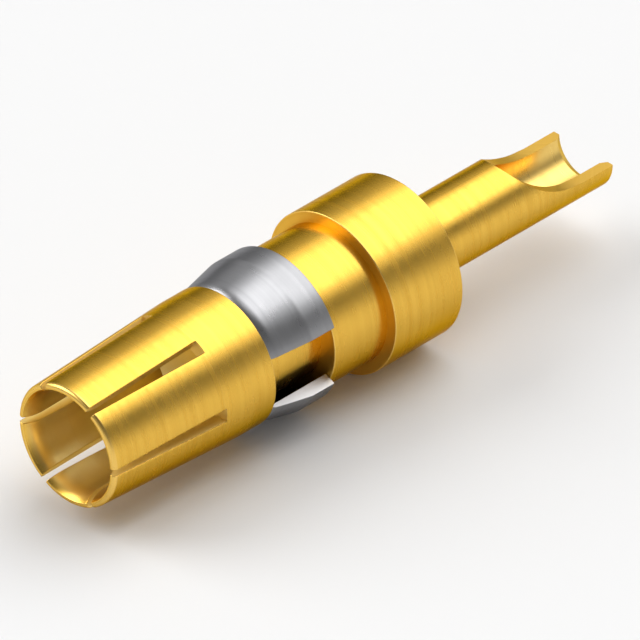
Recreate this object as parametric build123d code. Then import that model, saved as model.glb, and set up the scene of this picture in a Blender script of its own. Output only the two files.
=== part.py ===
from build123d import *
import os
from math import radians, tan

# Female power contact with a solder cup, for a D-subminiature connector shell.
# Millimetres. +X runs along the contact's axis from the pin socket to the solder cup,
# +Z is the side on which the solder cup is open, and the origin is on the axis
# at the front face of the collar.

# Pin that the socket grips
pin_diameter = 3.60
pin_clearance = 0.065          # radial, at the bottom of the bore
pin_grip = 0.115               # radial, by which the fingertips close on the pin

# Socket and its fingers
socket_length = 6.65           # rim to rear shoulder
finger_wall = 0.485            # at the bottom of the bore
contact_land_length = 1.00     # straight stretch inside the fingertips, where they touch the pin
finger_count = 6
slot_length = 4.60             # from the rim
slot_width = 0.48              # at the slot's root
slot_mouth_width = 0.22        # at the rim, where the fingers are bent in
bore_backing = 0.97            # solid metal between the full bore and the shoulder
drill_point_angle = 118.0      # degrees, at the bottom of both bores

# Rim of the socket, from the inside out
lead_in_width = 0.215          # radial width of the bell mouth
lead_in_depth = 0.68
rim_land = 0.045               # flat ring that is left between bell mouth and rounding
rim_rounding = 0.14

# Groove, barrel, collar and tail
groove_length = 2.50
groove_depth = 0.575           # below the socket's outside
barrel_diameter = 4.75
barrel_length = 2.25
collar_diameter = 5.50
collar_length = 2.90
tail_length = 8.05
edge_break = 0.03              # on the turned shoulders

# Solder cup in the end of the tail
cup_bore_diameter = 1.81
cup_wall = 0.375
cup_depth = 6.00               # end of the tail to the end of the full bore
cup_chamfer_width = 0.14       # radial
cup_chamfer_depth = 0.22
cup_cutter_radius = 3.30       # disc that opens the cup's upper half
cup_flat_length = 1.30         # open half at full depth, from the end of the tail

# Retention clip, a split ring in the groove
clip_hook = 0.17               # by which the ring's inside lies below the socket's outside
clip_wall = 0.42               # of the rear band
clip_nose_wall = 0.18          # where the rolled nose meets the flare
clip_edge = 0.03               # front edge
clip_nose_length = 0.33
clip_band_length = 0.95        # straight band at the rear
clip_gap_angle = 47.0          # degrees
clip_gap_direction = 180.0     # degrees about the axis from +Y: the gap faces -Y
clip_end_clearance = 0.02      # to each wall of the groove

# How far cutters run past what they cut
overrun = 1.0

# Radii
pin_radius = pin_diameter / 2
bore_radius = pin_radius + pin_clearance
grip_radius = pin_radius - pin_grip
lead_in_radius = grip_radius + lead_in_width
mouth_radius = lead_in_radius + rim_land + rim_rounding
socket_radius = bore_radius + finger_wall
groove_radius = socket_radius - groove_depth
barrel_radius = barrel_diameter / 2
collar_radius = collar_diameter / 2
cup_bore_radius = cup_bore_diameter / 2
tail_radius = cup_bore_radius + cup_wall

# Stations along the axis, from the collar's front face
barrel_x = -barrel_length
shoulder_x = barrel_x - groove_length
rim_x = shoulder_x - socket_length
bore_end_x = shoulder_x - bore_backing
slot_root_x = rim_x + slot_length
tail_x = collar_length
end_x = tail_x + tail_length


def drill_point_length(radius):
    """Length of the cone that a drill of this radius leaves."""
    return radius / tan(radians(drill_point_angle / 2))


def ring_edges(body, x, radius):
    """The full circles of one radius that lie at one station of a turned body."""
    def matches(edge):
        return abs(edge.arc_center.X - x) < 1e-4 and abs(edge.radius - radius) < 1e-4
    return body.edges().filter_by(GeomType.CIRCLE).filter_by(matches)


def turned_blank():
    """Outside of the contact as it is turned, with its rim rounded and its shoulders broken."""
    outline = Polyline(
        (rim_x, 0),
        (rim_x, mouth_radius),
        (bore_end_x, socket_radius),
        (shoulder_x, socket_radius),
        (shoulder_x, groove_radius),
        (barrel_x, groove_radius),
        (barrel_x, barrel_radius),
        (0, barrel_radius),
        (0, collar_radius),
        (tail_x, collar_radius),
        (tail_x, tail_radius),
        (end_x, tail_radius),
        (end_x, 0),
        close=True,
    )
    blank = revolve(make_face(outline), axis=Axis.X)
    blank = fillet(ring_edges(blank, rim_x, mouth_radius), rim_rounding)
    shoulders = (
        ring_edges(blank, shoulder_x, socket_radius)
        + ring_edges(blank, barrel_x, barrel_radius)
        + ring_edges(blank, 0, collar_radius)
        + ring_edges(blank, tail_x, collar_radius)
        + ring_edges(blank, end_x, tail_radius)
    )
    return chamfer(shoulders, edge_break)


def pin_bore():
    """Bore of the socket: bell mouth, contact land, a taper that widens inwards and a drill point."""
    lip = (rim_x, lead_in_radius)
    land_start = (rim_x + lead_in_depth, grip_radius)
    outline = Polyline(
        lip,
        (rim_x, 0),
        (bore_end_x + drill_point_length(bore_radius), 0),
        (bore_end_x, bore_radius),
        (rim_x + lead_in_depth + contact_land_length, grip_radius),
        land_start,
    )
    bell_mouth = TangentArc(land_start, lip, tangent=(-1, 0))
    return revolve(make_face(outline + bell_mouth), axis=Axis.X)


def finger_slot(angle):
    """One slot between two fingers, narrower at the rim than at its square root."""
    narrowing = (slot_width - slot_mouth_width) / slot_length
    outer_x = rim_x - overrun
    outer_half = slot_mouth_width / 2 - narrowing * overrun / 2
    root_half = slot_width / 2
    outline = Polyline(
        (outer_x, -outer_half),
        (slot_root_x, -root_half),
        (slot_root_x, root_half),
        (outer_x, outer_half),
        close=True,
    )
    wedge = extrude(make_face(outline), amount=socket_radius + overrun)
    return Rot(X=angle) * wedge


def finger_slots():
    """The slots, evenly spaced, with one pair level with the axis."""
    level = 90
    return [finger_slot(level + number * 360 / finger_count) for number in range(finger_count)]


def cup_bore():
    """Blind bore of the solder cup, with a chamfer at its mouth."""
    bottom_x = end_x - cup_depth
    outline = Polyline(
        (end_x, 0),
        (end_x, cup_bore_radius + cup_chamfer_width),
        (end_x - cup_chamfer_depth, cup_bore_radius),
        (bottom_x, cup_bore_radius),
        (bottom_x - drill_point_length(cup_bore_radius), 0),
        close=True,
    )
    return revolve(make_face(outline), axis=Axis.X)


def cup_cutter():
    """Disc cutter that sinks to the axis and runs out of the end of the tail."""
    width = 2 * (tail_radius + overrun)
    centre_x = end_x - cup_flat_length
    disc = Cylinder(cup_cutter_radius, width, rotation=(90, 0, 0))
    run_out = Box(
        cup_flat_length + overrun,
        width,
        2 * cup_cutter_radius,
        align=(Align.MIN, Align.CENTER, Align.CENTER),
    )
    return Pos(centre_x, 0, cup_cutter_radius) * (disc + run_out)


def contact_body():
    """The turned and plated contact: socket, groove, barrel, collar and solder cup."""
    body = turned_blank() - pin_bore() - cup_bore()
    body -= finger_slots()
    return body - cup_cutter()


def retention_clip():
    """Split spring ring: a rolled nose, a flare that locks in the shell and a straight band."""
    inside = socket_radius - clip_hook
    front_x = shoulder_x + clip_end_clearance
    rear_x = barrel_x - clip_end_clearance
    nose = (front_x + clip_nose_length, inside + clip_nose_wall)
    crease = (rear_x - clip_band_length, inside + clip_wall)
    flare_direction = (nose[0] - crease[0], nose[1] - crease[1])
    edge = (front_x, inside + clip_edge)
    outline = Polyline(
        edge,
        (front_x, inside),
        (rear_x, inside),
        (rear_x, inside + clip_wall),
        crease,
        nose,
    )
    rolled_nose = TangentArc(nose, edge, tangent=flare_direction)
    section = Rot(X=clip_gap_direction + clip_gap_angle / 2) * make_face(outline + rolled_nose)
    return revolve(section, axis=Axis.X, revolution_arc=360 - clip_gap_angle)


os.makedirs("parts", exist_ok=True)
export_step(contact_body(), "parts/contact_body.step")
export_step(retention_clip(), "parts/retention_clip.step")
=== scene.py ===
"""Looks of a gold-plated female power contact with a split retention ring and a solder cup.

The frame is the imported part: +X along the contact's axis towards the solder cup, +Z on the side
where the cup is open, origin on the axis at the collar's front face. The classes of the two pieces
hold their sizes in millimetres, which become metres when a mesh is finished.
"""

import logging
import math
from collections.abc import Sequence
from dataclasses import dataclass, field
from enum import Enum

import bmesh
import bpy
from mathutils import Matrix, Vector


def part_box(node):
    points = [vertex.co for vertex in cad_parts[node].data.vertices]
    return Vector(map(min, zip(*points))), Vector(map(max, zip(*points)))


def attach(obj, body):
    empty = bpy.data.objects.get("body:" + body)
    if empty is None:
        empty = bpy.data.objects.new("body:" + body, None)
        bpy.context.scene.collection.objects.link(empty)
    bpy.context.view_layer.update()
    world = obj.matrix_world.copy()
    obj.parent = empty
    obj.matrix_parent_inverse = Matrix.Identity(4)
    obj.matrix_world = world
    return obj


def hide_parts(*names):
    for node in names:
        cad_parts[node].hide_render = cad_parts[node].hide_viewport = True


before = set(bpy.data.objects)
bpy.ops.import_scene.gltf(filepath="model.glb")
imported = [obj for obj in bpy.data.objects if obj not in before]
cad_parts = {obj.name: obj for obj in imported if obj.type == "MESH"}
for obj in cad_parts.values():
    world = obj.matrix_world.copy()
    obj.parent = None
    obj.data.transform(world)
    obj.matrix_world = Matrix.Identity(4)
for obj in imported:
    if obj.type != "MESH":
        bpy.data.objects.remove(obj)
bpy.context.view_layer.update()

log = logging.getLogger("contact")

MM = 0.001

AXIS = (1.0, 0.0, 0.0)          # the contact's own axis, which it is turned about

# Meshing
FINGER_SEGMENTS = 28            # round each finger
SLOT_SEGMENTS = 4               # across each slot's root
ROUND_STEPS = 6                 # round each rounded corner
SOFT_STEPS = 3                  # round the softened edges along the slots
BREAK_STEPS = 12                # where the cutter sinks from the tail's top to the bore's top
CLOSING_STEPS = 24              # where it sinks on from the bore's top to the axis
LIP_STEPS = 8                   # across the cup's end face, and each lip or half of the bridge
SUPPORT = 0.012                 # millimetres from a corner to the point that keeps a stretch flat
WELD = 0.0006                   # millimetres within which two points become one
SHARP_ANGLE = math.radians(32)  # from which an edge is crisp

# How exposed an edge is to handling
ROUNDED_RUB = 1.0
CRISP_RUB = 0.5

# How much finer detail a noise has
FINE_DETAIL = 3.0
BROAD_DETAIL = 2.0

# Red, green, blue and opacity of a colour, and a ramp's stops of (value, level)
Colour = tuple[float, float, float, float]
Stops = tuple[tuple[float, float], ...]


class Surface(Enum):
    """How a face was made. The value names the face layer that the finishes read."""

    TURNED = "turned"
    FACED = "faced"
    BORED = "bored"
    REAMED = "reamed"
    SAWN = "sawn"
    MILLED = "milled"


class Mixing(Enum):
    """What a mixing node mixes: Blender's name for it, and where its inputs and its output are."""

    DIRECTIONS = ("VECTOR", 4, 5, 1)
    COLOURS = ("RGBA", 6, 7, 2)


@dataclass(frozen=True)
class Corner:
    """A corner of an outline in the plane through the axis.

    Args:
        x: Station along the axis, in millimetres.
        r: Distance from the axis, in millimetres.
        rounding: Radius that the corner is rounded to, or 0 for a crisp one.
    """

    x: float
    r: float
    rounding: float = 0.0


@dataclass(frozen=True)
class Station:
    """A point of a finished outline.

    Args:
        x: Station along the axis, in millimetres.
        r: Distance from the axis, in millimetres.
        rub: How exposed it is: most on a rounded edge, less on a crisp one, 0 elsewhere.
    """

    x: float
    r: float
    rub: float = 0.0


def between(a: float, b: float, share: float) -> float:
    """Return the value that lies at a share of the way from a to b."""
    return a + (b - a) * share


def steps(a: float, b: float, count: int) -> list[float]:
    """Return count + 1 even values from a to b."""
    return [between(a, b, i / count) for i in range(count + 1)]


def around(x: float, r: float, angle: float) -> Vector:
    """Return the point at a station and radius, at an angle from +Z towards +Y."""
    return Vector((x, r * math.sin(angle), r * math.cos(angle)))


def rounded_outline(corners: Sequence[Corner]) -> list[Station]:
    """Turn corners into an outline with arcs and with supports that keep flat stretches flat.

    Args:
        corners: Corners in order; the first and last stay as they are.

    Returns:
        The outline's stations, with an arc or a supported point at every inner corner.
    """
    outline = [Station(corners[0].x, corners[0].r)]
    for before, corner, after in zip(corners, corners[1:], corners[2:]):
        here = Vector((corner.x, corner.r))
        back = (Vector((before.x, before.r)) - here).normalized()
        ahead = (Vector((after.x, after.r)) - here).normalized()
        turn = back.angle(ahead)
        reach = corner.rounding / math.tan(turn / 2)
        start, end = here + back * reach, here + ahead * reach
        outline.append(Station(*(start + back * SUPPORT)))
        if corner.rounding:
            centre = here + (back + ahead).normalized() * (corner.rounding / math.sin(turn / 2))
            first, last = start - centre, end - centre
            sweep = first.angle_signed(last)
            for share in steps(0, 1, ROUND_STEPS):
                spoke = Matrix.Rotation(-sweep * share, 2) @ first
                outline.append(Station(*(centre + spoke), rub=ROUNDED_RUB))
        else:
            outline.append(Station(*here, rub=CRISP_RUB))
        outline.append(Station(*(end + ahead * SUPPORT)))
    outline.append(Station(corners[-1].x, corners[-1].r))
    return outline


def outline_normals(outline: Sequence[Station]) -> list[Vector]:
    """Return the unit normal at each station, to the left of the way the outline runs."""
    points = [Vector((station.x, station.r)) for station in outline]
    normals = []
    for i in range(len(points)):
        ahead = points[min(i + 1, len(points) - 1)] - points[max(i - 1, 0)]
        normals.append(Vector((-ahead.y, ahead.x)).normalized())
    return normals


class Patchwork:
    """One closed mesh made of patches that share their borders."""

    def __init__(self) -> None:
        """Start an empty mesh with the layers that the finishes read."""
        self.mesh = bmesh.new()
        self.rub = self.mesh.verts.layers.float.new("rub")
        for surface in Surface:
            self.mesh.faces.layers.float.new(surface.value)

    def vertex(self, point: Vector, rub: float = 0.0) -> bmesh.types.BMVert:
        """Add one point and return it."""
        made = self.mesh.verts.new(point)
        made[self.rub] = rub
        return made

    def grid(
        self,
        rows: Sequence[Sequence[Vector]],
        surface: Surface,
        rubs: Sequence[float] | None = None,
        fades_in: bool = False,
    ) -> None:
        """Add a patch of four-sided faces.

        Args:
            rows: Rows of points, all of one length.
            surface: How the faces were made.
            rubs: How exposed each row is, or nothing where no row is.
            fades_in: Whether the surface takes over from a turned one, row by row.
        """
        rubs = rubs or [0.0] * len(rows)
        verts = [[self.vertex(point, rub) for point in row] for row, rub in zip(rows, rubs)]
        layers = self.mesh.faces.layers.float
        for number, (lower, upper) in enumerate(zip(verts, verts[1:]), start=1):
            share = number / len(verts) if fades_in else 1.0
            for i in range(len(lower) - 1):
                face = self.mesh.faces.new((lower[i], lower[i + 1], upper[i + 1], upper[i]))
                face[layers[Surface.TURNED.value]] = 1.0 - share
                face[layers[surface.value]] = share

    def facet(self, points: Sequence[Vector], surface: Surface) -> None:
        """Add one flat face with any number of corners."""
        face = self.mesh.faces.new([self.vertex(point) for point in points])
        face[self.mesh.faces.layers.float[surface.value]] = 1.0

    def fan(self, points: Sequence[Vector], surface: Surface) -> None:
        """Add a flat, convex end as triangles round its middle."""
        middle = self.vertex(sum(points, Vector()) / len(points))
        rim = [self.vertex(point) for point in points]
        for first, second in zip(rim, [*rim[1:], rim[0]]):
            face = self.mesh.faces.new((middle, first, second))
            face[self.mesh.faces.layers.float[surface.value]] = 1.0

    def finish(self, name: str) -> bpy.types.Object:
        """Weld the patches, mark the crisp edges and return the piece as an object in metres.

        Args:
            name: Name of the piece.

        Returns:
            The new object, linked to the scene.
        """
        bmesh.ops.remove_doubles(self.mesh, verts=self.mesh.verts, dist=WELD)
        bmesh.ops.dissolve_degenerate(self.mesh, edges=self.mesh.edges, dist=WELD)
        bmesh.ops.recalc_face_normals(self.mesh, faces=self.mesh.faces)
        loose_edges = sum(1 for edge in self.mesh.edges if len(edge.link_faces) != 2)
        for face in self.mesh.faces:
            face.smooth = True
        for edge in self.mesh.edges:
            edge.smooth = len(edge.link_faces) == 2 and edge.calc_face_angle() < SHARP_ANGLE
        bmesh.ops.transform(self.mesh, matrix=Matrix.Scale(MM, 4), verts=self.mesh.verts)
        data = bpy.data.meshes.new(name)
        self.mesh.to_mesh(data)
        self.mesh.free()
        piece = bpy.data.objects.new(name, data)
        bpy.context.scene.collection.objects.link(piece)
        log.info("%s: %d points, %d faces, %d open edges",
                 name, len(data.vertices), len(data.polygons), loose_edges)
        return piece


class NodeSheet:
    """A material's or the world's node tree, with short ways to add and join nodes."""

    def __init__(self, tree: bpy.types.NodeTree) -> None:
        """Take over a tree and empty it."""
        self.tree = tree
        self.tree.nodes.clear()

    def add(
        self, kind: str, inputs: dict[str | int, object] | None = None, **settings: object
    ) -> bpy.types.Node:
        """Add a node.

        Args:
            kind: Blender's name for the kind of node, without the leading ShaderNode.
            inputs: Values, or sockets to join, by the name or number of the input.
            settings: The node's own settings.

        Returns:
            The new node.
        """
        node = self.tree.nodes.new("ShaderNode" + kind)
        for name, value in settings.items():
            setattr(node, name, value)
        for name, value in (inputs or {}).items():
            if isinstance(value, bpy.types.NodeSocket):
                self.tree.links.new(value, node.inputs[name])
            else:
                node.inputs[name].default_value = value
        return node

    def calculate(
        self, operation: str, *values: object, clamp: bool = False
    ) -> bpy.types.NodeSocket:
        """Return the result of one sum.

        Args:
            operation: Blender's name for the sum.
            values: The numbers or sockets that it is made of.
            clamp: Whether the result stays between 0 and 1.

        Returns:
            The result.
        """
        inputs = dict(enumerate(values))
        return self.add("Math", inputs, operation=operation, use_clamp=clamp).outputs[0]

    def noise(
        self, place: bpy.types.NodeSocket, size: float, detail: float, dimensions: int = 3
    ) -> bpy.types.NodeSocket:
        """Return a level that wanders between 0 and 1.

        Args:
            place: Place in space, or a distance where the noise has one dimension.
            size: How far apart its swings lie, in the units of the place.
            detail: How much finer detail it has.
            dimensions: 3 in space, 1 along a distance.

        Returns:
            The level.
        """
        where = "W" if dimensions == 1 else "Vector"
        inputs = {where: place, "Scale": 1 / size, "Detail": detail}
        return self.add("TexNoise", inputs, noise_dimensions=f"{dimensions}D").outputs["Fac"]

    def ramp(self, value: object, *stops: tuple[float, float]) -> bpy.types.NodeSocket:
        """Return a grey level that follows a value through stops of (value, level)."""
        node = self.add("ValToRGB", {"Fac": value})
        elements = node.color_ramp.elements
        while len(elements) < len(stops):
            elements.new(1.0)
        for element, (place, level) in zip(elements, stops):
            element.position = place
            element.color = (level, level, level, 1.0)
        return node.outputs["Color"]

    def mix(
        self, kind: Mixing, share: object, first: object, second: object
    ) -> bpy.types.NodeSocket:
        """Return a value that lies between two values.

        Args:
            kind: What is mixed.
            share: How much of the second value there is, from 0 to 1.
            first: The value at a share of 0.
            second: The value at a share of 1.

        Returns:
            The mixed value.
        """
        data_type, first_place, second_place, output_place = kind.value
        inputs = {0: share, first_place: first, second_place: second}
        return self.add("Mix", inputs, data_type=data_type).outputs[output_place]


@dataclass(frozen=True)
class MachinedMetal:
    """A machined metal surface: tool marks that run round the axis, faint stains, rubbed edges and
    painted light on its bored and cut faces.

    Args:
        name: Name of the finish.
        colour: Colour of the clean metal.
        deep_colour: Colour where the surface is a little tarnished.
        rubbed_colour: Colour of handled edges.
        painted_light_colour: Paler colour painted on the bored, sawn and cut faces, as painted
            light that lifts their shade.
        edge_tint: Colour that the surface keeps where it is seen nearly edge on.
        painted_light_share: How much of the painted light colour each kind of surface has.
        roughness: Roughness of each kind of surface.
        mark_pitch: Spacing of the tool marks, in millimetres.
        mark_height: Height of the tool marks, in millimetres.
        stain_size: Size of the faint stains, in millimetres.
        anisotropy: How much the tool marks stretch reflections.
        band_width: Width of the bands that the tool marks lie in, in spacings of the marks.
        band_height: Height of the bands, in heights of the marks.
        stain_share: How much the stains dull the colour, beside the bands.
        tarnish: Share of the deep colour, in stops of (how dulled, share).
        rub_share: Share of the rubbed colour on the most exposed edges.
        uneven: How far smudges and bands change the roughness, up or down.
        cut_direction: Direction of the tool marks on sawn and milled faces.
    """

    name: str
    colour: Colour
    deep_colour: Colour
    rubbed_colour: Colour
    painted_light_colour: Colour
    edge_tint: Colour
    painted_light_share: dict[Surface, float]
    roughness: dict[Surface, float]
    mark_pitch: float
    mark_height: float
    stain_size: float
    anisotropy: float = 0.3
    band_width: float = 5.0
    band_height: float = 4.0
    stain_share: float = 0.5
    tarnish: Stops = ((0.4, 0.0), (1.0, 1.0))
    rub_share: float = 0.6
    uneven: float = 0.12
    cut_direction: tuple[float, float, float] = (0.8, 0.5, 0.33)

    def make(self) -> bpy.types.Material:
        """Build the material and return it."""
        material = bpy.data.materials.new(self.name)
        material.use_nodes = True
        sheet = NodeSheet(material.node_tree)
        place = sheet.add("TexCoord").outputs["Object"]
        scaling = sheet.add("VectorMath", {0: place, "Scale": 1 / MM}, operation="SCALE")
        in_mm = scaling.outputs["Vector"]
        made = {
            surface: sheet.add("Attribute", attribute_name=surface.value).outputs["Fac"]
            for surface in Surface
        }
        marks, bands = self.tool_marks(sheet, in_mm)
        height = sheet.calculate("MULTIPLY_ADD", bands, self.band_height, marks)
        bump = sheet.add("Bump", {
            "Height": height,
            "Distance": self.mark_height * MM,
            "Strength": 1.0,
        })
        smudges = sheet.noise(in_mm, self.stain_size / 2, BROAD_DETAIL)
        smears = sheet.calculate("ADD", smudges, bands)
        uneven = sheet.calculate("MULTIPLY_ADD", smears, self.uneven, -self.uneven)
        shader = sheet.add("BsdfPrincipled", {
            "Base Color": self.wear_and_painted_light_colour(sheet, in_mm, made, bands),
            "Metallic": 1.0,
            "Specular Tint": self.edge_tint,
            "Roughness": self.by_surface(sheet, made, self.roughness, uneven),
            "Anisotropic": self.anisotropy,
            "Tangent": self.grain(sheet, place, made),
            "Normal": bump.outputs["Normal"],
        })
        sheet.add("OutputMaterial", {"Surface": shader.outputs["BSDF"]})
        return material

    def tool_marks(
        self, sheet: NodeSheet, in_mm: bpy.types.NodeSocket
    ) -> tuple[bpy.types.NodeSocket, bpy.types.NodeSocket]:
        """Return heights that change along the axis and outwards, so they ring every turned face.

        Args:
            sheet: The material's nodes.
            in_mm: Place on the piece, in millimetres.

        Returns:
            The heights of the single marks and of the wider bands that they lie in, from 0 to 1.
        """
        parts = sheet.add("SeparateXYZ", {"Vector": in_mm}).outputs
        across = sheet.add("CombineXYZ", {"Y": parts["Y"], "Z": parts["Z"]}).outputs["Vector"]
        radius = sheet.add("VectorMath", {0: across}, operation="LENGTH").outputs["Value"]
        run = sheet.calculate("ADD", parts["X"], radius)
        marks = sheet.noise(run, self.mark_pitch, FINE_DETAIL, dimensions=1)
        bands = sheet.noise(run, self.mark_pitch * self.band_width, BROAD_DETAIL, dimensions=1)
        return marks, bands

    def wear_and_painted_light_colour(
        self,
        sheet: NodeSheet,
        in_mm: bpy.types.NodeSocket,
        made: dict[Surface, bpy.types.NodeSocket],
        bands: bpy.types.NodeSocket,
    ) -> bpy.types.NodeSocket:
        """Return the metal's colour with its tarnish, the painted light on its bored and cut faces,
        and its rubbed edges.

        Args:
            sheet: The material's nodes.
            in_mm: Place on the piece, in millimetres.
            made: For each kind of surface, how much of it a face has, from 0 to 1.
            bands: Height of the bands of tool marks.

        Returns:
            The colour.
        """
        stains = sheet.noise(in_mm, self.stain_size, BROAD_DETAIL)
        dulled = sheet.calculate("MULTIPLY_ADD", stains, self.stain_share, bands)
        tarnish = sheet.ramp(dulled, *self.tarnish)
        # Painted light: a paler colour on the bored, sawn and cut faces, which lifts the shade in
        # the socket, slots and cup.
        painted_light_share = self.by_surface(sheet, made, self.painted_light_share, 0.0)
        exposed = sheet.add("Attribute", attribute_name="rub").outputs["Fac"]
        rubbed = sheet.calculate("MULTIPLY", exposed, self.rub_share)
        colour = sheet.mix(Mixing.COLOURS, tarnish, self.colour, self.deep_colour)
        colour = sheet.mix(Mixing.COLOURS, painted_light_share, colour, self.painted_light_colour)
        return sheet.mix(Mixing.COLOURS, rubbed, colour, self.rubbed_colour)

    def grain(
        self,
        sheet: NodeSheet,
        place: bpy.types.NodeSocket,
        made: dict[Surface, bpy.types.NodeSocket],
    ) -> bpy.types.NodeSocket:
        """Return the direction of the tool marks: round the axis, or straight where it is cut.

        Args:
            sheet: The material's nodes.
            place: Place on the piece.
            made: For each kind of surface, how much of it a face has, from 0 to 1.

        Returns:
            The direction.
        """
        turning = sheet.add("VectorMath", {0: AXIS, 1: place}, operation="CROSS_PRODUCT")
        cut = sheet.calculate("ADD", made[Surface.SAWN], made[Surface.MILLED])
        round_axis = turning.outputs["Vector"]
        return sheet.mix(Mixing.DIRECTIONS, cut, round_axis, self.cut_direction)

    def by_surface(
        self,
        sheet: NodeSheet,
        made: dict[Surface, bpy.types.NodeSocket],
        values: dict[Surface, float],
        total: object,
    ) -> bpy.types.NodeSocket:
        """Return a number that depends on how the face was made.

        Args:
            sheet: The material's nodes.
            made: For each kind of surface, how much of it a face has, from 0 to 1.
            values: The number for each kind of surface.
            total: What the number is added to.

        Returns:
            The sum.
        """
        for surface, value in values.items():
            total = sheet.calculate("MULTIPLY_ADD", made[surface], value, total)
        return total


@dataclass(frozen=True)
class CupSection:
    """A section across the open stretch of the solder cup, in millimetres.

    Args:
        x: Station along the axis.
        height: Height of the cut above the axis.
        outer: Outside radius.
        inner: Radius of the bore.
    """

    x: float
    height: float
    outer: float
    inner: float


@dataclass
class ContactBody:
    """The turned contact: slotted socket, groove, barrel, stop collar and solder cup.

    The sizes are the solid's own, but for lip_rounding, for slot_edge, by which the edges along
    the slots are softened, and for slot_fade, over which that fades out towards the slots' roots.

    Args:
        rim_x: Station of the socket's rim.
        end_x: Station of the tail's end.
        collar_radius: Outside radius of the collar.
    """

    rim_x: float
    end_x: float
    collar_radius: float
    socket_length: float = 6.65
    socket_radius: float = 2.35
    mouth_radius: float = 2.085
    rim_rounding: float = 0.14
    lead_in_radius: float = 1.90
    lead_in_depth: float = 0.68
    lip_rounding: float = 0.02
    grip_radius: float = 1.685
    contact_land_length: float = 1.00
    bore_radius: float = 1.865
    bore_backing: float = 0.97
    drill_angle: float = math.radians(118)
    finger_count: int = 6
    slot_length: float = 4.60
    slot_width: float = 0.48
    slot_mouth_width: float = 0.22
    slot_edge: float = 0.02
    slot_fade: float = 0.06
    groove_length: float = 2.50
    groove_radius: float = 1.775
    barrel_length: float = 2.25
    barrel_radius: float = 2.375
    collar_length: float = 2.90
    tail_radius: float = 1.28
    edge_break: float = 0.03
    cup_radius: float = 0.905
    cup_depth: float = 6.00
    cup_chamfer_width: float = 0.14
    cup_chamfer_depth: float = 0.22
    cup_cutter_radius: float = 3.30
    cup_flat_length: float = 1.30
    patches: Patchwork = field(default_factory=Patchwork)

    @property
    def shoulder_x(self) -> float:
        """Station of the socket's rear shoulder."""
        return self.rim_x + self.socket_length

    @property
    def bore_end_x(self) -> float:
        """Station where the pin bore's full diameter ends and the taper of the fingers begins."""
        return self.shoulder_x - self.bore_backing

    @property
    def slot_root_x(self) -> float:
        """Station of the slots' square roots."""
        return self.rim_x + self.slot_length

    @property
    def columns(self) -> int:
        """Number of divisions round the axis."""
        return self.finger_count * (FINGER_SEGMENTS + SLOT_SEGMENTS)

    def outside_at(self, x: float) -> float:
        """Return the socket's outside radius at a station of its taper."""
        share = (x - self.rim_x) / (self.bore_end_x - self.rim_x)
        return between(self.mouth_radius, self.socket_radius, share)

    def bore_at(self, x: float) -> float:
        """Return the bore's radius at a station of its taper."""
        taper_x = self.rim_x + self.lead_in_depth + self.contact_land_length
        share = (x - taper_x) / (self.bore_end_x - taper_x)
        return between(self.grip_radius, self.bore_radius, share)

    def half_slot(self, x: float) -> float:
        """Return half the slots' width at a station."""
        share = (x - self.rim_x) / self.slot_length
        return between(self.slot_mouth_width, self.slot_width, share) / 2

    def even_angles(self) -> list[float]:
        """Return even divisions of the full turn, from +Z round to +Z."""
        return steps(0, math.tau, self.columns)

    def slotted_angles(self, radius: float) -> list[float]:
        """Return divisions of the full turn that fall on the slots' walls at their roots.

        Args:
            radius: Radius of the surface that the slots end in.

        Returns:
            The angles, from +Z round to +Z.
        """
        sector = math.tau / self.finger_count
        half_angle = math.asin(self.slot_width / 2 / radius)
        half_finger = FINGER_SEGMENTS // 2
        angles = [0.0]
        for number in range(self.finger_count):
            centre = number * sector
            slot = centre + sector / 2
            angles += steps(centre, slot - half_angle, half_finger)[1:]
            angles += steps(slot - half_angle, slot + half_angle, SLOT_SEGMENTS)[1:]
            angles += steps(slot + half_angle, centre + sector, half_finger)[1:]
        return angles

    def turn(
        self, outline: Sequence[Station], angles: Sequence[float], surface: Surface = Surface.TURNED
    ) -> None:
        """Add the surface that an outline sweeps round the axis.

        Args:
            outline: The outline's stations.
            angles: Angles about the axis at which the surface has points.
            surface: How it was made; a turned outline is faced where it runs square to the axis.
        """
        rows = [[around(station.x, station.r, angle) for angle in angles] for station in outline]
        for i, (here, ahead) in enumerate(zip(outline, outline[1:])):
            steep = abs(ahead.r - here.r) > abs(ahead.x - here.x)
            made = Surface.FACED if surface is Surface.TURNED and steep else surface
            self.patches.grid(rows[i:i + 2], made, [here.rub, ahead.rub])

    def bell_mouth(self) -> list[Corner]:
        """Return the lead-in's arc, from the lip to where it runs into the contact land."""
        width = self.lead_in_radius - self.grip_radius
        radius = (self.lead_in_depth**2 + width**2) / (2 * width)
        land_x = self.rim_x + self.lead_in_depth
        centre_r = self.grip_radius + radius
        return [
            Corner(land_x - radius * math.sin(slope), centre_r - radius * math.cos(slope))
            for slope in steps(math.asin(self.lead_in_depth / radius), 0, 2 * ROUND_STEPS)
        ]

    def finger_outline(self) -> tuple[list[Station], list[Station], list[Station]]:
        """Return one finger's outline, in three stretches.

        Returns:
            The outside, from the root over the rim into the lip; the bell mouth; and the inside,
            from where the contact land begins to the root.
        """
        root, near_root = self.slot_root_x, self.slot_root_x - self.slot_fade
        bell = self.bell_mouth()
        outside = rounded_outline([
            Corner(root, self.outside_at(root)),
            Corner(near_root, self.outside_at(near_root)),
            Corner(self.rim_x, self.mouth_radius, self.rim_rounding),
            Corner(self.rim_x, self.lead_in_radius, self.lip_rounding),
            bell[1],
        ])
        inside = rounded_outline([
            bell[-1],
            Corner(bell[-1].x + self.contact_land_length, self.grip_radius),
            Corner(near_root, self.bore_at(near_root)),
            Corner(root, self.bore_at(root)),
        ])
        return outside, [Station(corner.x, corner.r) for corner in bell[2:-1]], inside

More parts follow.
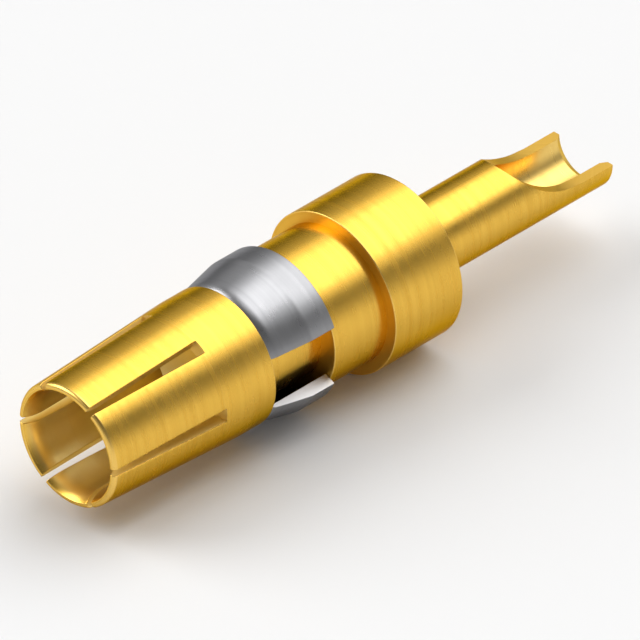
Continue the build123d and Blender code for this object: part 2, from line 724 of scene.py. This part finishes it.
    def finger(self, centre: float) -> None:
        """Add one finger, with softened edges along its slots.

        Args:
            centre: The finger's angle about the axis.
        """
        outside, bell, inside = self.finger_outline()
        outline = outside + bell + inside
        normals = outline_normals(outline)
        half_sector = math.pi / self.finger_count
        rows = []
        for station, normal in zip(outline, normals):
            fade = (self.slot_root_x - station.x) / self.slot_fade
            edge = self.slot_edge * min(1.0, max(0.0, fade))
            side = []
            for lean in steps(0, math.pi / 2, SOFT_STEPS):
                sunk = edge * (1 - math.sin(lean))
                x, r = station.x + normal.x * sunk, station.r + normal.y * sunk
                off_centre = self.half_slot(station.x) + edge * (1 - math.cos(lean))
                side.append((x, r, half_sector - math.asin(off_centre / r)))
            reach = side[-1][2]
            between_sides = steps(centre - reach, centre + reach, FINGER_SEGMENTS)[1:-1]
            rows.append([
                *(around(x, r, centre - half) for x, r, half in side),
                *(around(station.x, station.r, angle) for angle in between_sides),
                *(around(x, r, centre + half) for x, r, half in reversed(side)),
            ])
        lip, land = len(outside) - 1, len(outside + bell)
        rubs = [station.rub for station in outline]
        self.patches.grid(rows[:lip + 1], Surface.TURNED, rubs[:lip + 1])
        # Bored and sawn faces get the painted light colour as well as their own roughness; the bell
        # mouth fades into it.
        self.patches.grid(rows[lip:land + 1], Surface.BORED, rubs[lip:land + 1], fades_in=True)
        self.patches.grid(rows[land:], Surface.BORED, rubs[land:])
        self.patches.facet([row[0] for row in rows], Surface.SAWN)
        self.patches.facet([row[-1] for row in rows], Surface.SAWN)

    def slot_root(self, centre: float) -> None:
        """Add the square wall at the end of one slot."""
        root = self.slot_root_x
        wall = []
        for radius, way in ((self.outside_at(root), 1), (self.bore_at(root), -1)):
            reach = math.asin(self.slot_width / 2 / radius) * way
            angles = steps(centre - reach, centre + reach, SLOT_SEGMENTS)
            wall += [around(root, radius, angle) for angle in angles]
        self.patches.facet(wall, Surface.SAWN)

    def socket(self) -> None:
        """Add the fingers, the slots' roots and the closed rear of the socket, out- and inside."""
        sector = math.tau / self.finger_count
        for number in range(self.finger_count):
            self.finger(number * sector)
            self.slot_root((number + 0.5) * sector)
        root, outside = self.slot_root_x, self.outside_at(self.slot_root_x)
        outline = rounded_outline([
            Corner(root, outside),
            Corner(self.bore_end_x, self.socket_radius),
            Corner(self.shoulder_x, self.socket_radius, self.edge_break),
            Corner(self.shoulder_x, self.groove_radius),
        ])
        slotted = self.slotted_angles(outside)
        self.turn(outline[:-1], slotted)
        edge, inner = outline[-2:]
        self.patches.grid([
            [around(edge.x, edge.r, angle) for angle in slotted],
            [around(inner.x, inner.r, angle) for angle in self.even_angles()],
        ], Surface.FACED)
        drill_length = self.bore_radius / math.tan(self.drill_angle / 2)
        bore = rounded_outline([
            Corner(root, self.bore_at(root)),
            Corner(self.bore_end_x, self.bore_radius),
            Corner(self.bore_end_x + drill_length, 0.0),
        ])
        self.turn(bore, self.slotted_angles(self.bore_at(root)), Surface.BORED)

    def middle(self) -> None:
        """Add the groove, the barrel, the collar and the closed stretch of the tail."""
        barrel_x = self.shoulder_x + self.groove_length
        collar_x = barrel_x + self.barrel_length
        tail_x = collar_x + self.collar_length
        soft = self.edge_break
        outline = rounded_outline([
            Corner(self.shoulder_x, self.groove_radius),
            Corner(barrel_x, self.groove_radius),
            Corner(barrel_x, self.barrel_radius, soft),
            Corner(collar_x, self.barrel_radius),
            Corner(collar_x, self.collar_radius, soft),
            Corner(tail_x, self.collar_radius, soft),
            Corner(tail_x, self.tail_radius),
            Corner(self.run_out_x(self.tail_radius), self.tail_radius),
        ])
        self.turn(outline, self.even_angles())

    def run_out_x(self, height: float) -> float:
        """Return the station where the disc cutter's run-out stands at a height above the axis."""
        drop = self.cup_cutter_radius - height
        return self.end_x - self.cup_flat_length - math.sqrt(self.cup_cutter_radius**2 - drop**2)

    def open_angle(self, height: float, radius: float) -> float:
        """Return the angle from +Z at which a cut at a height meets a surface of a radius."""
        return math.acos(min(1.0, height / radius))

    def arc_row(self, x: float, height: float, radius: float) -> list[Vector]:
        """Return a surface's points across one section, below the cut, from lip to lip."""
        lip = self.open_angle(height, radius)
        return [around(x, radius, angle) for angle in steps(lip, math.tau - lip, self.columns)]

    def breaking_cuts(self) -> list[tuple[float, float]]:
        """Return the cutter's stations and heights from the tail's top to the bore's top."""
        angles = steps(0, self.open_angle(self.cup_radius, self.tail_radius), BREAK_STEPS)
        heights = [self.tail_radius * math.cos(angle) for angle in angles]
        return [(self.run_out_x(height), height) for height in heights]

    def closing_sections(self) -> list[CupSection]:
        """Return the sections from where the cutter reaches the bore to the tail's end."""
        angles = steps(0, math.pi / 2, CLOSING_STEPS)
        heights = [self.cup_radius * math.cos(angle) for angle in angles]
        sections = [
            CupSection(self.run_out_x(height), height, self.tail_radius, self.cup_radius)
            for height in heights
        ]
        chamfer_x = self.end_x - self.cup_chamfer_depth
        break_x = self.end_x - self.edge_break
        mouth = [(chamfer_x - SUPPORT, 0.0), (chamfer_x, 0.0), (break_x - SUPPORT, 0.0)]
        for lean in steps(0, math.pi / 2, ROUND_STEPS):
            sunk = self.edge_break * (1 - math.cos(lean))
            mouth.append((break_x + self.edge_break * math.sin(lean), sunk))
        for x, sunk in mouth:
            flare = self.cup_chamfer_width * max(0.0, x - chamfer_x) / self.cup_chamfer_depth
            sections.append(CupSection(x, 0.0, self.tail_radius - sunk, self.cup_radius + flare))
        return sections

    def solder_cup(self) -> None:
        """Add the tail's open end: outside, blind bore, mouth chamfer, end face and cut lips."""
        breaking = self.breaking_cuts()
        closing = self.closing_sections()

        outside = [self.arc_row(x, height, self.tail_radius) for x, height in breaking]
        outside += [self.arc_row(cut.x, cut.height, cut.outer) for cut in closing[1:]]
        self.patches.grid(outside, Surface.TURNED)

        bottom_x = self.end_x - self.cup_depth
        drill_length = self.cup_radius / math.tan(self.drill_angle / 2)
        bore = rounded_outline([
            Corner(bottom_x - drill_length, 0.0),
            Corner(bottom_x, self.cup_radius),
            Corner(self.run_out_x(self.cup_radius), self.cup_radius),
        ])
        self.turn(bore, self.even_angles(), Surface.REAMED)
        inside = [self.arc_row(cut.x, cut.height, cut.inner) for cut in closing]
        self.patches.grid(inside, Surface.REAMED)

        end = closing[-1]
        rings = steps(end.outer, end.inner, LIP_STEPS)
        self.patches.grid([self.arc_row(end.x, 0.0, radius) for radius in rings], Surface.TURNED)

        bridge = []
        for x, height in breaking:
            half = math.sqrt(max(0.0, self.tail_radius**2 - height**2))
            ways = steps(-half, 0, LIP_STEPS) + steps(0, half, LIP_STEPS)[1:]
            bridge.append([Vector((x, y, height)) for y in ways])
        self.patches.grid(bridge, Surface.MILLED)
        for side in (-1, 1):
            lip = []
            for cut in closing:
                far = math.sqrt(max(0.0, cut.outer**2 - cut.height**2))
                near = math.sqrt(max(0.0, cut.inner**2 - cut.height**2))
                ways = steps(far, near, LIP_STEPS)
                lip.append([Vector((cut.x, side * y, cut.height)) for y in ways])
            self.patches.grid(lip, Surface.MILLED)

    def build(self, finish: bpy.types.Material) -> bpy.types.Object:
        """Make the body, dress it and put it in the frame.

        Args:
            finish: The plating's material.

        Returns:
            The finished piece.
        """
        self.socket()
        self.middle()
        self.solder_cup()
        piece = self.patches.finish("plated_contact_body")
        piece.data.materials.append(finish)
        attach(piece, "root")
        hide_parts("contact_body")
        return piece


@dataclass
class RetentionRing:
    """The split spring ring in the groove: rolled nose, flare and straight rear band.

    The sizes are the solid's own, but for the three roundings, for end_softening, by which its cut
    ends are softened, and for nose_rub, which says how exposed the rolled nose is to handling.

    Args:
        front_x: Station of the front edge.
        rear_x: Station of the rear edge.
        outer_radius: Outside radius of the rear band.
    """

    front_x: float
    rear_x: float
    outer_radius: float
    wall: float = 0.42
    nose_wall: float = 0.18
    nose_edge: float = 0.03
    nose_length: float = 0.33
    band_length: float = 0.95
    crease_rounding: float = 0.5
    rear_rounding: float = 0.03
    inner_rounding: float = 0.02
    gap_angle: float = math.radians(47)
    gap_direction: float = math.radians(270)
    end_softening: float = 0.01
    nose_rub: float = 0.5
    segments: int = 168
    patches: Patchwork = field(default_factory=Patchwork)

    def nose_arc(self, nose: Vector, edge: Vector, flare: Vector) -> list[Vector]:
        """Return the rolled nose's points, tangent to the flare where they meet.

        Args:
            nose: Where the flare begins.
            edge: The nose's front edge.
            flare: Direction of the flare, towards the front.

        Returns:
            Points from the nose to the edge, both included.
        """
        inward = Vector((flare.y, -flare.x)).normalized()
        chord = edge - nose
        if inward.dot(chord) < 0:
            inward.negate()
        radius = chord.length_squared / (2 * inward.dot(chord))
        centre = nose + inward * radius
        first, last = nose - centre, edge - centre
        sweep = first.angle_signed(last)
        turns = [-sweep * share for share in steps(0, 1, 2 * ROUND_STEPS)]
        return [centre + Matrix.Rotation(turn, 2) @ first for turn in turns]

    def section(self) -> list[Station]:
        """Return the ring's closed section, from the rear inside edge forwards and back outside."""
        inside = self.outer_radius - self.wall
        nose = Vector((self.front_x + self.nose_length, inside + self.nose_wall))
        crease = Vector((self.rear_x - self.band_length, self.outer_radius))
        edge = Vector((self.front_x, inside + self.nose_edge))
        arc = self.nose_arc(nose, edge, nose - crease)
        arc.reverse()
        start = Corner(between(self.front_x, self.rear_x, 0.5), inside)
        front = rounded_outline([start, Corner(self.front_x, inside), Corner(edge.x, edge.y)])[:-1]
        rear = rounded_outline([
            Corner(nose.x, nose.y),
            Corner(crease.x, crease.y, self.crease_rounding),
            Corner(self.rear_x, self.outer_radius, self.rear_rounding),
            Corner(self.rear_x, inside, self.inner_rounding),
            start,
        ])
        rolled = [Station(point.x, point.y, self.nose_rub) for point in arc[:-1]]
        unrubbed = [Station(station.x, station.r) for station in rear[:-1]]
        return front + rolled + unrubbed

    def build(self, finish: bpy.types.Material) -> bpy.types.Object:
        """Make the ring, dress it and put it in the frame.

        Args:
            finish: The spring steel's material.

        Returns:
            The finished piece.
        """
        section = self.section()
        normals = outline_normals([section[-1], *section, section[0]])[1:-1]
        first_angle = self.gap_direction + self.gap_angle / 2
        last_angle = first_angle + math.tau - self.gap_angle
        ease = self.end_softening / self.outer_radius
        angles = steps(first_angle + ease, last_angle - ease, self.segments)
        rows = [[around(station.x, station.r, angle) for station in section] for angle in angles]
        ends = []
        for angle in (first_angle, last_angle):
            end = []
            for station, normal in zip(section, normals):
                x = station.x - normal.x * self.end_softening
                r = station.r - normal.y * self.end_softening
                end.append(around(x, r, angle))
            ends.append(end)
        rows = [ends[0], *rows, ends[1]]
        self.patches.grid([[*row, row[0]] for row in rows], Surface.TURNED)
        for end in ends:
            self.patches.fan(end, Surface.SAWN)
        piece = self.patches.finish("spring_retention_ring")
        piece.data.materials.append(finish)
        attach(piece, "root")
        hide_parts("retention_clip")
        return piece


@dataclass(frozen=True)
class SoftLight:
    """A soft lamp far away, as wide as a diffusing panel looks from the table.

    Args:
        name: Name of the lamp.
        toward: Direction from the object to the lamp.
        width: How wide the lamp looks, in degrees.
        brightness: Brightness of the panel, where 1 shows as white.
    """

    name: str
    toward: tuple[float, float, float]
    width: float
    brightness: float

    def place(self) -> None:
        """Add the lamp to the scene."""
        lamp = bpy.data.lights.new(self.name, "SUN")
        lamp.angle = math.radians(self.width)
        lamp.energy = self.brightness * math.pi * math.sin(lamp.angle / 2) ** 2
        holder = bpy.data.objects.new(self.name, lamp)
        holder.rotation_mode = "QUATERNION"
        holder.rotation_quaternion = Vector(self.toward).to_track_quat("Z", "Y")
        bpy.context.scene.collection.objects.link(holder)


@dataclass(frozen=True)
class PhotoTable:
    """A plain pale table top with soft studio light above it.

    Args:
        floor_z: Height of the table top, in metres.
        radius: Radius of the table top, in metres.
        colour: Colour of the table top.
        segments: Number of straight stretches in the table top's round edge.
        below: Colour of the room below the horizon, where it carries on the lit table.
        horizon: How sharply the room changes at the horizon.
        window_side: Brightness of the room towards -Y, in stops of (height, brightness), where
            the height is 0 at the horizon and 1 overhead.
        wall_side: Brightness of the room towards +Y, in the same stops.
        middle_share: Share of the wall side half way between -Y and +Y.
        lights: The lamps.
    """

    floor_z: float
    radius: float = 0.6
    colour: Colour = (0.80, 0.80, 0.80, 1.0)
    segments: int = 96
    below: Colour = (0.955, 0.955, 0.955, 1.0)
    horizon: float = 100.0
    window_side: Stops = ((0.0, 0.95), (0.12, 0.72), (0.34, 0.28), (0.7, 0.15))
    wall_side: Stops = ((0.0, 0.12), (0.2, 0.2), (0.47, 0.5), (0.6, 0.6), (0.8, 0.15))
    middle_share: float = 0.5
    lights: tuple[SoftLight, ...] = (
        SoftLight("key_panel", (0.48, -0.04, 0.87), 57.0, 1.4),
        SoftLight("key_surround", (0.48, -0.04, 0.87), 78.0, 0.82),
        SoftLight("top_panel", (0.10, -0.06, 0.99), 42.0, 0.45),
        SoftLight("back_panel", (-0.42, 0.68, 0.55), 44.0, 4.0),
    )

    def build(self) -> bpy.types.Object:
        """Add the table top, the lamps and the room's own light, and return the table top."""
        floor = bmesh.new()
        bmesh.ops.create_circle(floor, cap_ends=True, segments=self.segments, radius=self.radius)
        data = bpy.data.meshes.new("table_top")
        floor.to_mesh(data)
        floor.free()
        top = bpy.data.objects.new("table_top", data)
        top.location.z = self.floor_z
        bpy.context.scene.collection.objects.link(top)
        data.materials.append(self.paper())
        for light in self.lights:
            light.place()
        self.room()
        return top

    def paper(self) -> bpy.types.Material:
        """Return the table top's matt white paper."""
        material = bpy.data.materials.new("matt_white_paper")
        material.use_nodes = True
        sheet = NodeSheet(material.node_tree)
        shader = sheet.add("BsdfDiffuse", {"Color": self.colour})
        sheet.add("OutputMaterial", {"Surface": shader.outputs["BSDF"]})
        return material

    def room(self) -> None:
        """Give the room its own light: the table's below the horizon, two grey sides above it."""
        world = bpy.data.worlds.new("studio_room")
        world.use_nodes = True
        bpy.context.scene.world = world
        sheet = NodeSheet(world.node_tree)
        direction = sheet.add("TexCoord").outputs["Generated"]
        parts = sheet.add("SeparateXYZ", {"Vector": direction}).outputs
        window_side = sheet.ramp(parts["Z"], *self.window_side)
        wall_side = sheet.ramp(parts["Z"], *self.wall_side)
        turned_away = sheet.calculate("ADD", parts["Y"], self.middle_share, clamp=True)
        sides = sheet.mix(Mixing.COLOURS, turned_away, window_side, wall_side)
        above = sheet.calculate("MULTIPLY_ADD", parts["Z"], self.horizon, 1.0, clamp=True)
        level = sheet.mix(Mixing.COLOURS, above, self.below, sides)
        sky = sheet.add("Background", {"Color": level, "Strength": 1.0})
        sheet.add("OutputWorld", {"Surface": sky.outputs["Background"]})


@dataclass(frozen=True)
class Viewpoint:
    """The camera: a long lens that looks down on the contact from the socket's side.

    Args:
        azimuth: Direction that the camera stands in, in degrees; 0 looks along +Y.
        elevation: Angle above the horizon, in degrees.
        view_width: Width of the view at the contact, in millimetres.
        right_shift: Where the view's centre lies right of the frame's origin, in millimetres.
        up_shift: Where the view's centre lies above the frame's origin, in millimetres.
        lens: Focal length, in millimetres.
        sensor: Width of the sensor, in millimetres.
        nearest: Distance at which the view begins, in metres.
        farthest: Distance at which the view ends, in metres.
    """

    azimuth: float = 315.0
    elevation: float = 35.264
    view_width: float = 19.55
    right_shift: float = -0.370
    up_shift: float = -0.819
    lens: float = 1500.0
    sensor: float = 36.0
    nearest: float = 0.01
    farthest: float = 10.0

    def place(self) -> None:
        """Add the camera and make it the scene's own."""
        turn, rise = math.radians(self.azimuth), math.radians(self.elevation)
        level = Vector((math.sin(turn), -math.cos(turn), 0.0))
        back = level * math.cos(rise) + Vector((0.0, 0.0, math.sin(rise)))
        right = Vector((math.cos(turn), math.sin(turn), 0.0))
        up = back.cross(right)
        target = (right * self.right_shift + up * self.up_shift) * MM
        distance = self.view_width * MM * self.lens / self.sensor
        lens = bpy.data.cameras.new("long_lens")
        lens.sensor_width = self.sensor
        lens.lens = self.lens
        lens.clip_start, lens.clip_end = self.nearest, self.farthest
        camera = bpy.data.objects.new("long_lens", lens)
        camera.rotation_mode = "QUATERNION"
        camera.rotation_quaternion = (-back).to_track_quat("-Z", "Y")
        camera.location = target + back * distance
        bpy.context.scene.collection.objects.link(camera)
        bpy.context.scene.camera = camera


GOLD_PLATING = MachinedMetal(
    name="gold_plating",
    colour=(0.84, 0.51, 0.085, 1.0),
    deep_colour=(0.77, 0.45, 0.068, 1.0),
    rubbed_colour=(0.90, 0.60, 0.17, 1.0),
    # Painted light: paler gold on the bored, sawn and cut faces, in the shares below, lifting the
    # shade inside.
    painted_light_colour=(0.98, 0.78, 0.31, 1.0),
    edge_tint=(0.62, 0.49, 0.25, 1.0),
    painted_light_share={Surface.BORED: 1.0, Surface.REAMED: 0.4, Surface.SAWN: 1.0, Surface.MILLED: 0.1},
    roughness={
        Surface.TURNED: 0.26,
        Surface.FACED: 0.44,
        Surface.BORED: 0.38,
        Surface.REAMED: 0.30,
        Surface.SAWN: 0.55,
        Surface.MILLED: 0.34,
    },
    mark_pitch=0.05,
    mark_height=0.0004,
    stain_size=1.6,
)

SPRING_STEEL = MachinedMetal(
    name="satin_spring_steel",
    colour=(0.38, 0.38, 0.39, 1.0),
    deep_colour=(0.33, 0.33, 0.34, 1.0),
    rubbed_colour=(0.50, 0.50, 0.51, 1.0),
    # Painted highlight: paler steel on the ring's sawn ends.
    painted_light_colour=(0.66, 0.66, 0.67, 1.0),
    edge_tint=(0.50, 0.50, 0.51, 1.0),
    painted_light_share={Surface.SAWN: 1.0},
    roughness={Surface.TURNED: 0.30, Surface.SAWN: 0.40},
    mark_pitch=0.04,
    mark_height=0.0006,
    stain_size=1.2,
)


def main() -> None:
    """Build the contact, its table and its camera, and report each piece."""
    logging.basicConfig(level=logging.INFO, format="%(name)s: %(message)s")
    body_low, body_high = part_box("contact_body")
    ring_low, ring_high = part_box("retention_clip")
    body = ContactBody(
        rim_x=body_low.x / MM,
        end_x=body_high.x / MM,
        collar_radius=body_high.y / MM,
    ).build(GOLD_PLATING.make())
    ring = RetentionRing(
        front_x=ring_low.x / MM,
        rear_x=ring_high.x / MM,
        outer_radius=ring_high.z / MM,
    ).build(SPRING_STEEL.make())
    table = PhotoTable(floor_z=body_low.z).build()
    log.info("pieces: %s and %s, on %s", body.name, ring.name, table.name)
    Viewpoint().place()
    bpy.context.scene.view_settings.view_transform = "Standard"


if __name__ == "__main__":
    main()
